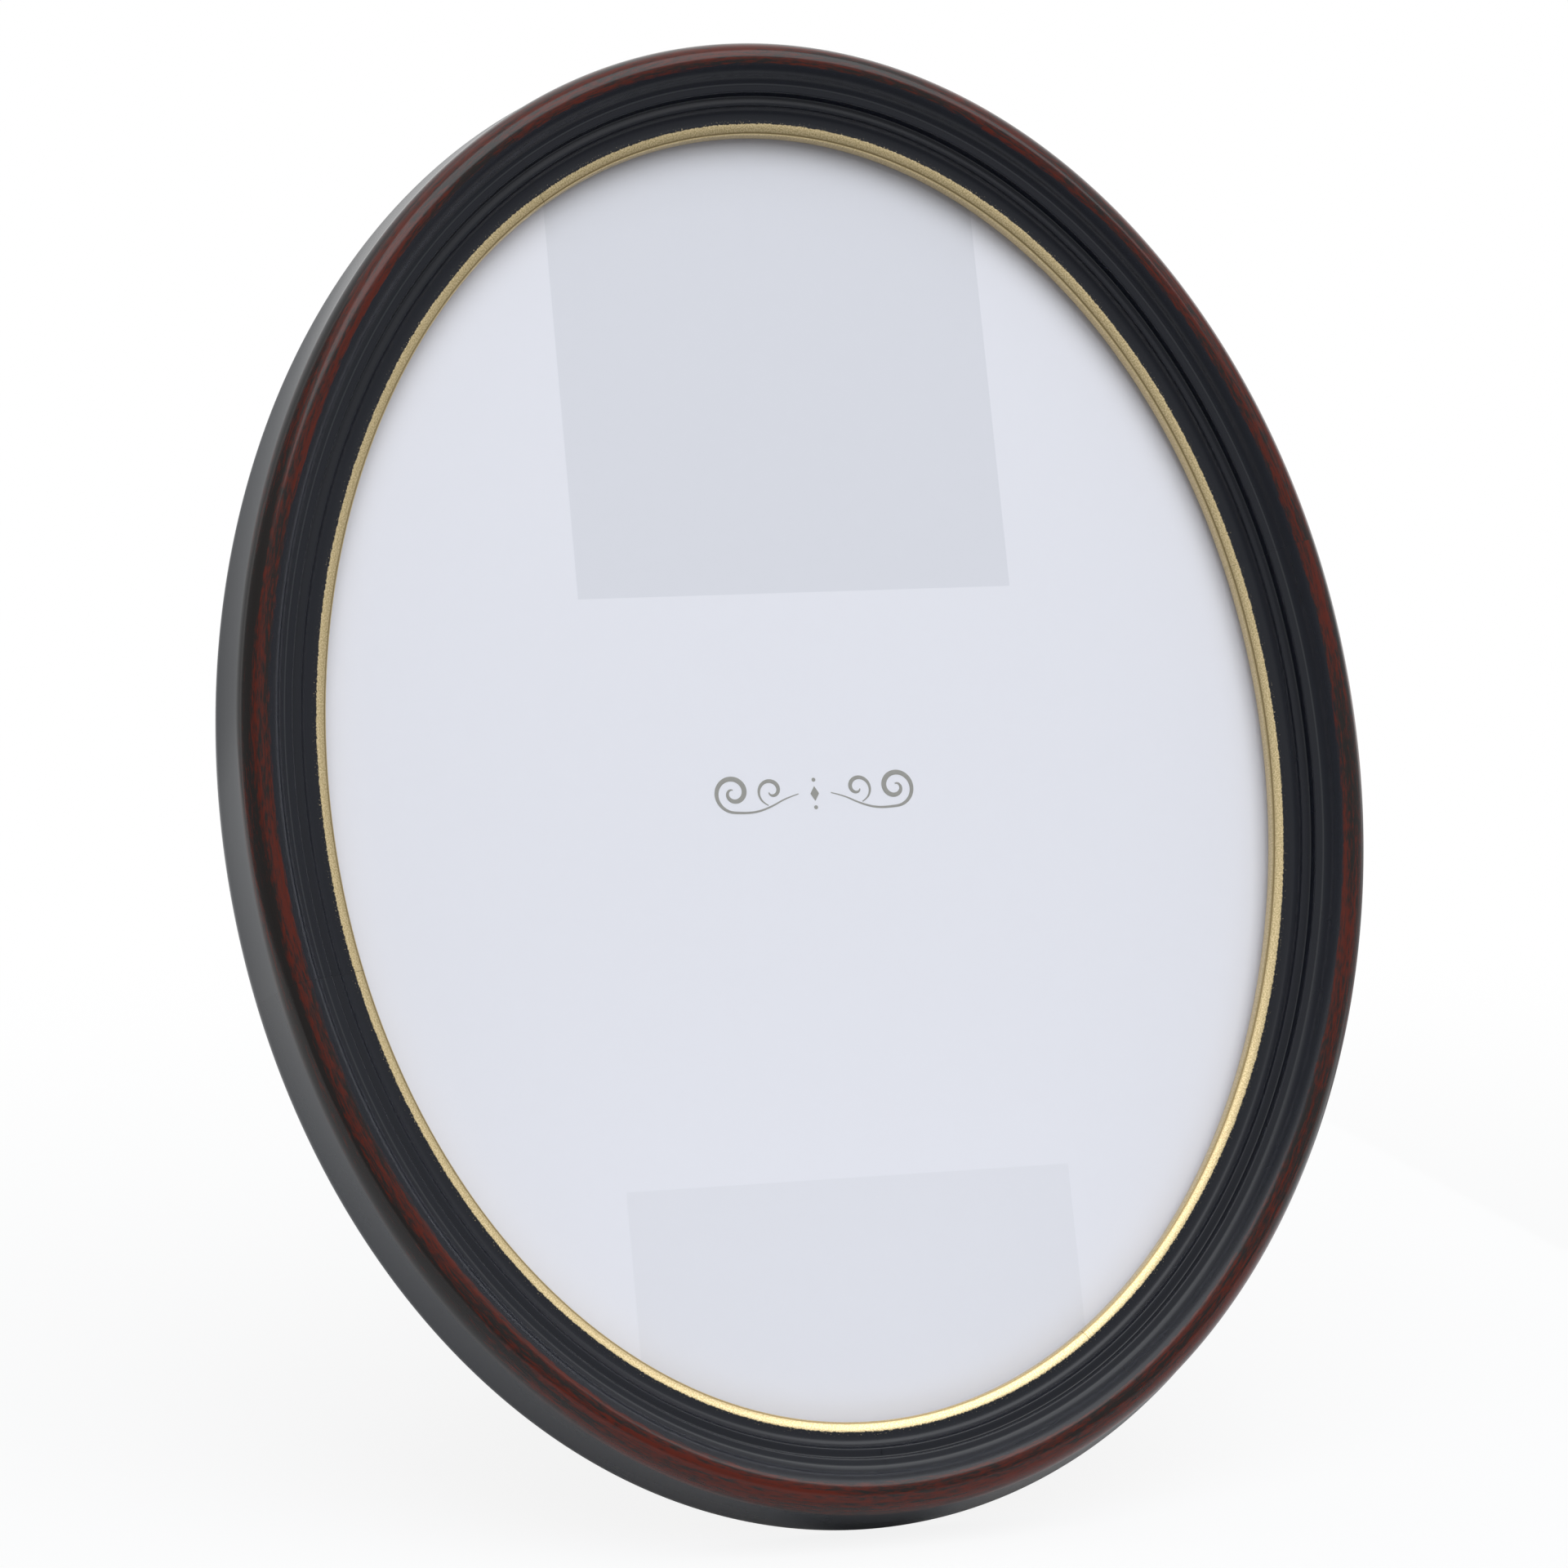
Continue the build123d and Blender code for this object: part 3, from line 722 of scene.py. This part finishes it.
screen_pitch = 1.7
hardboard, tree, surface = new_finish("brown_hardboard")
place = map_place(tree, "flat")
spot = add_node(tree, "ShaderNodeSeparateXYZ", {0: place})
fibre = stretched_noise(tree, place, (1.1, 1.1, 1), 6, 0.72)
long_fibre = stretched_noise(tree, place, (0.16, 1.3, 1), 4, 0.6)
cloud = stretched_noise(tree, place, (0.025, 0.025, 1), 3, 0.5)
brown = mixed(tree, rise(tree, fibre, 0.3, 0.7), (0.075, 0.038, 0.019, 1), (0.23, 0.135, 0.075, 1))
brown = mixed(tree, rise(tree, long_fibre, 0.56, 0.7), brown, (0.3, 0.19, 0.11, 1))
brown = mixed(tree, rise(tree, cloud, 0.7, 0.3), brown, (0.13, 0.072, 0.038, 1))
tree.links.new(brown, surface.inputs["Base Color"])
tree.links.new(wander(tree, 0.62, fibre, 0.25), surface.inputs["Roughness"])
mesh_marks = []
for way in ("X", "Y"):
    phase = calc(tree, "MULTIPLY", spot.outputs[way], 2 * pi / screen_pitch)
    mesh_marks.append(calc(tree, "SINE", phase, 0.0))
mesh_mark = calc(tree, "MULTIPLY", mesh_marks[0], mesh_marks[1])
pressed = calc(tree, "ADD", calc(tree, "MULTIPLY", mesh_mark, 0.4), fibre)
bump_inputs = {"Height": pressed, "Strength": 0.6, "Distance": 0.2 * MM}
press_bump = add_node(tree, "ShaderNodeBump", bump_inputs)
tree.links.new(press_bump.outputs["Normal"], surface.inputs["Normal"])
board.data.materials.append(hardboard)
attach(board, "frame")
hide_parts("back_board")

# Hinge: two leaves of 1 mm sheet steel, their knuckles rolled round a headed wire pin, barrel
# plated. The strut's leaf has a tongue that stops on the board's leaf.
steel, tree, surface = new_finish("plated_steel")
place = object_place(tree)
smear = stretched_noise(tree, place, (0.35, 0.35, 0.35), 4, 0.6)
scratch = stretched_noise(tree, place, (0.7, 7.0, 7.0), 3, 0.6)
steel_tone = mixed(tree, smear, (0.40, 0.39, 0.365, 1), (0.58, 0.57, 0.545, 1))
tree.links.new(steel_tone, surface.inputs["Base Color"])
surface.inputs["Metallic"].default_value = 1.0
tree.links.new(wander(tree, wander(tree, 0.27, smear, 0.3), scratch, 0.12), surface.inputs["Roughness"])
bump_inputs = {"Height": scratch, "Strength": 0.08, "Distance": 0.05 * MM}
scratch_bump = add_node(tree, "ShaderNodeBump", bump_inputs)
tree.links.new(scratch_bump.outputs["Normal"], surface.inputs["Normal"])


def finish_piece(piece, finish, body, node):
    piece.data.materials.append(finish)
    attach(piece, body)
    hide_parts(node)


def eased_copy(node, name, width, body):
    """A steel piece on a node's own form: triangles welded into faces, edges rounded over."""
    mesh = frame["nodes"][node].data.copy()
    mesh.name = name
    mesh.materials.clear()
    piece = bpy.data.objects.new(name, mesh)
    bpy.context.collection.objects.link(piece)
    pick(piece)
    bpy.ops.mesh.customdata_custom_splitnormals_clear()
    choose(piece, "VERT", lambda vertex: True)
    bpy.ops.mesh.remove_doubles(threshold=0.002 * MM)
    bpy.ops.mesh.dissolve_limited(angle_limit=radians(0.5))
    bpy.ops.object.mode_set(mode="OBJECT")
    ease_edges(piece, width, 40)
    finish_piece(piece, steel, body, node)
    return piece


eased_copy("hinge_board_leaf", "pressed_board_leaf", 0.14 * MM, "frame")
eased_copy("hinge_strut_leaf", "pressed_strut_leaf", 0.14 * MM, "strut")
eased_copy("hinge_pin", "headed_hinge_pin", 0.2 * MM, "frame")

# Strut: the easel leg, 3 mm hardboard sawn to a taper with rounded shoulders, its foot cut level
# with the table
hinge_point = Vector(joint_facts["strut_fold"]["pos_m"])
strut_lean = radians(joint_facts["strut_fold"]["range_deg"][1]) - atan2(face_out.z, -face_out.y)
strut_up = Vector((0, -sin(strut_lean), cos(strut_lean)))
on_strut = Matrix((face_side, strut_up, face_side.cross(strut_up))).transposed().to_4x4()
on_strut.translation = hinge_point
strut_thickness = 3.0 * MM
strut_back = -2.1 * MM
strut_top = -2.4 * MM
strut_top_width = 42.0 * MM
strut_foot_width = 64.0 * MM
strut_shoulder = 5.0 * MM
bpy.ops.object.select_all(action="DESELECT")
bpy.ops.mesh.primitive_plane_add(size=1)
strut = bpy.context.object
strut.name = "easel_strut"
strut_foot = -hinge_point.z / cos(strut_lean) - strut_thickness
for corner in strut.data.vertices:
    at_top = corner.co.y > 0
    width = strut_top_width if at_top else strut_foot_width
    corner.co = (corner.co.x * width, strut_top if at_top else strut_foot, strut_back)
choose(strut, "VERT", lambda vertex: vertex.co.y > -strut_shoulder)
bpy.ops.mesh.bevel(affect="VERTICES", offset=strut_shoulder * 0.9, segments=8)
bpy.ops.mesh.select_all(action="SELECT")
bpy.ops.mesh.extrude_region_move(TRANSFORM_OT_translate={"value": (0, 0, strut_thickness)})
bpy.ops.mesh.select_all(action="SELECT")
bpy.ops.mesh.normals_make_consistent(inside=False)
bpy.ops.object.mode_set(mode="OBJECT")
flat_map(strut, "flat")
strut.matrix_world = on_strut
bpy.ops.object.transform_apply()
choose(strut, "FACE", lambda face: True)
bpy.ops.mesh.bisect(plane_co=(0, 0, 0), plane_no=(0, 0, 1), use_fill=True, clear_inner=True)
bpy.ops.object.mode_set(mode="OBJECT")
ease_edges(strut, 0.35 * MM, 40)
finish_piece(strut, hardboard, "strut", "strut")

# Rivets: domed steel, semi-tubular, set through the hinge leaves and the hanger's strap. One is
# turned and copied to each place.
rivet_head = 2.8
rivet_height = 1.2
rivet_shank = 1.5
rivet_across = 10.0
rivet_rows = (10.5, 19.5)
leaf_thickness = 1.0 * MM


def turned(name, profile, steps=40):
    """A turned piece: half its section drawn point by point, then spun round its axis."""
    piece = drawn(name, [(x, 0, z) for x, z in profile])
    choose(piece, "VERT", lambda vertex: True)
    bpy.ops.mesh.spin(steps=steps, angle=2 * pi, center=(0, 0, 0), axis=(0, 0, 1))
    bpy.ops.mesh.select_all(action="SELECT")
    bpy.ops.mesh.remove_doubles(threshold=0.002 * MM)
    bpy.ops.mesh.normals_make_consistent(inside=False)
    bpy.ops.object.mode_set(mode="OBJECT")
    return piece


rivet_rim = (rivet_head, 0.15)
rivet_profile = [(0, -3.2), (rivet_shank, -3.2), (rivet_shank, 0), (rivet_head, 0), rivet_rim]
rivet_profile += sagitta_arc(rivet_rim, (0.95, rivet_height), 0.22, 8)
rivet_profile += [(0.75, 1.12), (0.55, 0.95), (0, 0.9)]
rivet = turned("rivet", rivet_profile)


def seat_at(origin, along, out):
    """Place of a piece whose X runs along, whose Z points out, and whose middle is at the origin."""
    seat = Matrix((along, out.cross(along), out)).transposed().to_4x4()
    seat.translation = origin
    return seat


def copies(model, name, seats):
    """One piece made of copies of a model, one at each seat."""
    made = []
    for seat in seats:
        pick(model)
        bpy.ops.object.duplicate()
        copy = bpy.context.object
        copy.matrix_world = seat
        bpy.ops.object.transform_apply()
        made.append(copy)
    for copy in made:
        copy.select_set(True)
    if len(made) > 1:
        bpy.ops.object.join()
    group = bpy.context.object
    group.name = name
    group.data.name = name
    bpy.ops.object.shade_smooth_by_angle(angle=radians(35))
    return group


hinge_up = (hinge_point - face_middle).dot(face_up)
leaf_seats = []
strut_seats = []
for x in (-rivet_across, rivet_across):
    for row in rivet_rows:
        on_leaf = Vector((x * MM, hinge_up + row * MM, -board_back - leaf_thickness))
        leaf_seats.append(seat_at(on_face @ on_leaf, face_side, -face_out))
        on_leg = Vector((x * MM, -row * MM, strut_back))
        strut_seats.append(seat_at(on_strut @ on_leg, face_side, -on_strut.col[2].xyz))
leaf_rivets = copies(rivet, "domed_leaf_rivets", leaf_seats)
finish_piece(leaf_rivets, steel, "frame", "board_leaf_rivets")
strut_rivets = copies(rivet, "domed_strut_rivets", strut_seats)
finish_piece(strut_rivets, steel, "strut", "strut_leaf_rivets")

# Wall hanger: a folded steel strap riveted to the board, and a D-ring of bent steel wire that
# swings in its fold
strap_thickness = 0.8 * MM
strap_rivet_drop = 6.8 * MM
bar_point = Vector(joint_facts["hanger_ring_swing"]["pos_m"])
bar_up = (bar_point - face_middle).dot(face_up)
eased_copy("hanger_strap", "folded_hanger_strap", 0.1 * MM, "frame")
on_strap = Vector((0, bar_up - strap_rivet_drop, -board_back - strap_thickness))
strap_rivet = copies(rivet, "domed_hanger_rivet", [seat_at(on_face @ on_strap, face_side, -face_out)])
finish_piece(strap_rivet, steel, "frame", "hanger_rivet")
bpy.data.objects.remove(rivet)

ring_half_width = 8.0
ring_corner = 3.0
ring_shoulder = 5.0
ring_bar_half = ring_half_width - ring_corner
wire_radius = 1.0
corner_steps = 8
bow_steps = 36
ring_line = []
for step in range(corner_steps + 1):
    ring_line.append(on_circle((ring_bar_half, ring_corner), ring_corner, -90 + 90 * step / corner_steps))
for step in range(bow_steps + 1):
    ring_line.append(on_circle((0, ring_shoulder), ring_half_width, 180 * step / bow_steps))
for step in range(corner_steps + 1):
    ring_line.append(on_circle((-ring_bar_half, ring_corner), ring_corner, 180 + 90 * step / corner_steps))
wire = bpy.data.curves.new("bent_wire_ring", "CURVE")
wire.dimensions = "3D"
wire.bevel_depth = wire_radius * MM
wire.bevel_resolution = 5
bent = wire.splines.new("POLY")
bent.points.add(len(ring_line) - 1)
for point, (x, y) in zip(bent.points, ring_line):
    point.co = (x * MM, y * MM, 0, 1)
bent.use_cyclic_u = True
ring = bpy.data.objects.new("bent_wire_ring", wire)
bpy.context.collection.objects.link(ring)
pick(ring)
bpy.ops.object.convert(target="MESH")
ring = bpy.context.object
ring.matrix_world = seat_at(bar_point, face_side, Vector((0, 1, 0)))
bpy.ops.object.transform_apply()
bpy.ops.object.shade_smooth_by_angle(angle=radians(40))
finish_piece(ring, steel, "hanger_ring", "hanger_ring")

# Turn buttons: four pressed steel tongues with a raised rim, each turning on its own screw on the
# back of one moulding length and reaching over the board
button_eye = 4.6
button_tip = 3.2
button_reach = 14.0
button_thickness = 1.2
button_rim = 0.9
button_dish = 0.3
button_seat = (-moulding_back + 0.1) * MM
button_turns = (45, 135, 225, 315)
screw_reach = 9.5 * MM
bpy.ops.object.select_all(action="DESELECT")
bpy.ops.mesh.primitive_circle_add(vertices=48, radius=button_eye * MM)
button = bpy.context.object
button.name = "button"
bpy.ops.object.mode_set(mode="EDIT")
bpy.ops.mesh.primitive_circle_add(vertices=40, radius=button_tip * MM, location=(button_reach * MM, 0, 0))
choose(button, "VERT", lambda vertex: True)
bpy.ops.mesh.convex_hull()
bpy.ops.mesh.select_all(action="SELECT")
bpy.ops.mesh.remove_doubles(threshold=0.002 * MM)
bpy.ops.mesh.dissolve_limited(angle_limit=radians(1))
bpy.ops.mesh.select_all(action="SELECT")
bpy.ops.mesh.extrude_region_move(TRANSFORM_OT_translate={"value": (0, 0, button_thickness * MM)})
bpy.ops.mesh.select_all(action="SELECT")
bpy.ops.mesh.normals_make_consistent(inside=False)
choose(button, "FACE", lambda face: face.normal.z > 0.9)
bpy.ops.mesh.inset(thickness=button_rim * MM, depth=0)
bpy.ops.mesh.inset(thickness=0.3 * MM, depth=-button_dish * MM)
bpy.ops.object.mode_set(mode="OBJECT")
ease_edges(button, 0.14 * MM, 25)
screw_seats = []
for number, turn in enumerate(button_turns, start=1):
    point, along = oval_frame(turn)
    outward = along.cross(Vector((0, 0, 1)))
    spot = point + outward * screw_reach
    inward = on_face.to_3x3() @ -outward
    seat = seat_at(on_face @ (spot - Vector((0, 0, button_seat))), inward, -face_out)
    screw_seats.append(seat)
    pressed_button = copies(button, f"pressed_turn_button_{number}", [seat])
    finish_piece(pressed_button, steel, f"turn_button_{number}", f"turn_button_{number}")
bpy.data.objects.remove(button)

# Button screws: slotted round-head wood screws, each driven through a button into the moulding
# and left with its slot where it stopped
screw_head = 3.2
screw_head_height = 1.7
screw_gap = 0.1
slot_width = 0.8
slot_depth = 0.9
slot_turns = (20, 75, 130, 160)
head_foot = (screw_head, 0.12)
screw_profile = [(0, -3.0), (1.5, -3.0), (1.5, 0), (screw_head, 0), head_foot]
screw_profile += sagitta_arc(head_foot, (0, screw_head_height), 0.52, 12)
screw = turned("screw", screw_profile, 48)
bpy.ops.mesh.primitive_cube_add(size=1, location=(0, 0, (screw_head_height - slot_depth / 2 + 0.5) * MM))
cutter = bpy.context.object
cutter.scale = (3 * screw_head * MM, slot_width * MM, (slot_depth + 1.0) * MM)
pick(screw)
slotted = screw.modifiers.new("slotted", "BOOLEAN")
slotted.operation = "DIFFERENCE"
slotted.object = cutter
bpy.ops.object.modifier_apply(modifier="slotted")
bpy.data.objects.remove(cutter)
ease_edges(screw, 0.06 * MM, 40)
lift = Matrix.Translation((0, 0, (button_thickness + screw_gap) * MM))
driven = [
    seat @ lift @ Matrix.Rotation(radians(turn), 4, "Z") for seat, turn in zip(screw_seats, slot_turns)
]
screws = copies(screw, "slotted_button_screws", driven)
finish_piece(screws, steel, "frame", "turn_button_screws")
bpy.data.objects.remove(screw)

# Studio: a white table and surround, with one softbox overhead. Grey screens stand round the frame,
# and only its own finish sees them, as the dark and light in the lacquer.
bpy.ops.object.select_all(action="DESELECT")
bpy.ops.mesh.primitive_plane_add(size=1, location=(0, 0.42, 0))
table = bpy.context.object
table.name = "white_table"
table.scale = (3.0, 1.2, 1)
bpy.ops.object.transform_apply(scale=True)
table_finish, tree, surface = new_finish("white_table_top")
surface.inputs["Base Color"].default_value = (0.85, 0.86, 0.87, 1)
surface.inputs["Roughness"].default_value = 0.9
rays = add_node(tree, "ShaderNodeLightPath")
seen = calc(tree, "MAXIMUM", rays.outputs["Is Camera Ray"], rays.outputs["Is Glossy Ray"])
seen = calc(tree, "MAXIMUM", seen, rays.outputs["Is Transmission Ray"])
spot = add_node(tree, "ShaderNodeTexCoord").outputs["Object"]
away = add_node(tree, "ShaderNodeVectorMath", {0: spot}, operation="LENGTH").outputs["Value"]
even = add_node(tree, "ShaderNodeMix", {0: rise(tree, away, 0.1, 0.55), 2: 0.86, 3: 1.0}).outputs[0]
mirrored = calc(tree, "MULTIPLY", rays.outputs["Is Glossy Ray"], rise(tree, away, 0.45, 0.1))
even = calc(tree, "MULTIPLY", even, calc(tree, "SUBTRACT", 1.0, mirrored))
bright = add_node(tree, "ShaderNodeEmission", {"Color": (1, 1, 1, 1), "Strength": 1.0})
share = calc(tree, "MULTIPLY", seen, even)
top = add_node(tree, "ShaderNodeMixShader", {0: share, 1: surface.outputs[0], 2: bright.outputs[0]})
tree.links.new(top.outputs[0], tree.nodes["Material Output"].inputs["Surface"])
table.data.materials.append(table_finish)


def grey_screen(name, middle, turn, size, level):
    """A plain grey screen that only the object's own finish sees."""
    bpy.ops.object.select_all(action="DESELECT")
    bpy.ops.mesh.primitive_plane_add(size=1, location=middle, rotation=turn)
    screen = bpy.context.object
    screen.name = name
    screen.scale = (size[0], size[1], 1)
    bpy.ops.object.transform_apply(rotation=True, scale=True)
    screen.visible_camera = False
    screen.visible_shadow = False
    finish, tree, surface = new_finish(name)
    surface.inputs["Base Color"].default_value = (0, 0, 0, 1)
    surface.inputs["Emission Color"].default_value = (0.96, 0.98, 1.0, 1)
    surface.inputs["Emission Strength"].default_value = level
    screen.data.materials.append(finish)


upright_turn = (radians(90), 0, 0)
side_turn = (radians(90), 0, radians(90))
grey_screen("front_screen", (0, -1.35, 0.75), upright_turn, (3.2, 1.6), 0.42)
grey_screen("left_screen", (-1.0, -0.4, 0.65), side_turn, (1.9, 1.4), 0.34)
grey_screen("back_left_screen", (-0.8, 1.25, 0.83), (radians(90), 0, radians(20)), (1.2, 1.64), 0.6)
grey_screen("right_screen", (1.0, -0.4, 0.4), side_turn, (1.9, 0.9), 0.54)
grey_screen("low_screen", (0, -0.77, -0.005), (0, 0, 0), (2.4, 1.18), 0.24)
grey_screen("right_low_screen", (0.75, 0.6, 0.002), (0, 0, 0), (1.1, 1.0), 0.3)
grey_screen("left_low_screen", (-0.6, 0.75, 0.002), (0, 0, 0), (0.8, 1.0), 0.85)

bpy.ops.object.light_add(type="AREA", location=(0.12, -1.1, 1.66))
softbox = bpy.context.object
softbox.name = "overhead_softbox"
softbox.data.shape = "RECTANGLE"
softbox.data.size = 1.9
softbox.data.size_y = 2.2
softbox.data.energy = 28.5
softbox.data.color = (0.95, 0.975, 1.0)
aim = Vector((0, 0, 0.12)) - softbox.location
softbox.rotation_euler = aim.to_track_quat("-Z", "Y").to_euler()

studio = bpy.data.worlds.new("studio")
bpy.context.scene.world = studio
studio.use_nodes = True
tree = studio.node_tree
ambient = tree.nodes["Background"]
ambient.inputs["Color"].default_value = (0.95, 0.97, 1.0, 1)
ambient.inputs["Strength"].default_value = 0.65
backdrop = add_node(tree, "ShaderNodeBackground", {"Color": (1, 1, 1, 1), "Strength": 1.0})
rays = add_node(tree, "ShaderNodeLightPath")
seen = calc(tree, "MAXIMUM", rays.outputs["Is Camera Ray"], rays.outputs["Is Glossy Ray"])
seen = calc(tree, "MAXIMUM", seen, rays.outputs["Is Transmission Ray"])
around = add_node(tree, "ShaderNodeMixShader", {0: seen, 1: ambient.outputs[0], 2: backdrop.outputs[0]})
tree.links.new(around.outputs[0], tree.nodes["World Output"].inputs["Surface"])
bpy.context.scene.view_settings.view_transform = "Standard"

# Camera: a long lens, a little above the frame's middle and to its left, near enough for the
# frame to fill the picture
view_turn = radians(15.976)
view_drop = radians(8.601)
view_distance = 865.45 * MM
view_aside = 4.08 * MM
view_above = 3.45 * MM
ahead = Vector((cos(view_drop) * sin(view_turn), cos(view_drop) * cos(view_turn), -sin(view_drop)))
aside = Vector((cos(view_turn), -sin(view_turn), 0))
upright = aside.cross(ahead)
stand = face_middle - ahead * view_distance - aside * view_aside - upright * view_above
camera_turn = Matrix((aside, upright, -ahead)).transposed().to_euler()
bpy.ops.object.camera_add(location=stand, rotation=camera_turn)
camera = bpy.context.object
camera.data.lens = 111.89
camera.data.sensor_width = 36.0
camera.data.dof.use_dof = False
bpy.context.scene.camera = camera
